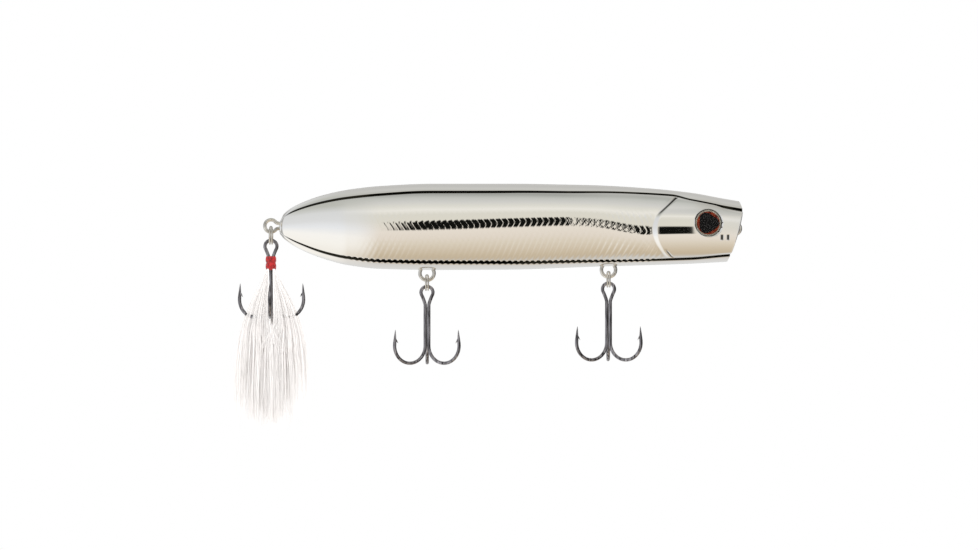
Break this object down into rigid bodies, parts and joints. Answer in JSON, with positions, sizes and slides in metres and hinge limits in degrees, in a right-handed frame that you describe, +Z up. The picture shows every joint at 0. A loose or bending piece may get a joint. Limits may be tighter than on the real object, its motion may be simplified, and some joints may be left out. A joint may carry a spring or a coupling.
{
  "type": "topwater popper fishing lure",
  "caption": "Hollow chromed fishing lure with a cupped mouth, hinged treble hooks on split rings, and a feather-dressed tail hook.",
  "frame": {"origin": "centre of the line-tie loop in the cupped mouth", "axes": "+X forward out of the mouth, +Z up, so the lure's left side faces +Y"},
  "size_m": [0.1372, 0.0216, 0.0641],
  "materials": {
    "chrome_film": "gloss",
    "nickel_wire": "polished",
    "black_nickel": "gloss",
    "red_thread": "satin",
    "white_hackle": "matte",
    "eye_print": "satin",
    "clear_lens": "gloss",
    "steel": "satin"
  },
  "bodies": {
    "lure_body": {"body_shell_left": "chrome_film", "body_shell_right": "chrome_film", "eye_disc_left": "eye_print", "eye_disc_right": "eye_print", "eye_lens_left": "clear_lens", "eye_lens_right": "clear_lens", "line_tie": "nickel_wire", "front_hook_hanger": "nickel_wire", "rear_hook_hanger": "nickel_wire", "tail_hook_hanger": "nickel_wire", "tail_weight": "steel"},
    "front_ring": {"front_split_ring": "nickel_wire"},
    "front_treble": {"front_double_hook": "black_nickel", "front_single_hook": "black_nickel"},
    "rear_ring": {"rear_split_ring": "nickel_wire"},
    "rear_treble": {"rear_double_hook": "black_nickel", "rear_single_hook": "black_nickel"},
    "tail_ring": {"tail_split_ring": "nickel_wire"},
    "tail_treble": {"tail_double_hook": "black_nickel", "tail_single_hook": "black_nickel", "thread_wrap": "red_thread", "hackle_1": "white_hackle", "hackle_2": "white_hackle", "hackle_3": "white_hackle", "hackle_4": "white_hackle", "hackle_5": "white_hackle", "hackle_6": "white_hackle"},
    "rattle_1": {"rattle_ball_1": "steel"},
    "rattle_2": {"rattle_ball_2": "steel"},
    "rattle_3": {"rattle_ball_3": "steel"}
  },
  "joints": [
    {"name": "front_ring_swing", "type": "hinge", "parent": "lure_body", "child": "front_ring", "pos_m": [-0.0342, 0, -0.01312], "axis": [1, 0, 0], "range_deg": [-50, 50]},
    {"name": "front_treble_swing", "type": "hinge", "parent": "front_ring", "child": "front_treble", "pos_m": [-0.0342, 0, -0.01579], "axis": [0, 1, 0], "range_deg": [-60, 60]},
    {"name": "rear_ring_swing", "type": "hinge", "parent": "lure_body", "child": "rear_ring", "pos_m": [-0.0834, 0, -0.01402], "axis": [1, 0, 0], "range_deg": [-50, 50]},
    {"name": "rear_treble_swing", "type": "hinge", "parent": "rear_ring", "child": "rear_treble", "pos_m": [-0.0834, 0, -0.01669], "axis": [0, 1, 0], "range_deg": [-60, 60]},
    {"name": "tail_ring_swing", "type": "hinge", "parent": "lure_body", "child": "tail_ring", "pos_m": [-0.1257, 0, -0.00096], "axis": [1, 0, 0], "range_deg": [-50, 50]},
    {"name": "tail_treble_swing", "type": "hinge", "parent": "tail_ring", "child": "tail_treble", "pos_m": [-0.1257, 0, -0.00418], "axis": [0, 1, 0], "range_deg": [-35, 75]},
    {"name": "rattle_1_roll", "type": "slide", "parent": "lure_body", "child": "rattle_1", "axis": [1, 0, 0], "range_m": [-0.0022, 0.0022]},
    {"name": "rattle_2_roll", "type": "slide", "parent": "lure_body", "child": "rattle_2", "axis": [1, 0, 0], "range_m": [-0.0022, 0.0022]},
    {"name": "rattle_3_roll", "type": "slide", "parent": "lure_body", "child": "rattle_3", "axis": [1, 0, 0], "range_m": [-0.0022, 0.0022]}
  ],
  "couplings": [
    {"joint": "rattle_2_roll", "follows": "rattle_1_roll", "ratio": 1},
    {"joint": "rattle_3_roll", "follows": "rattle_1_roll", "ratio": 1}
  ]
}
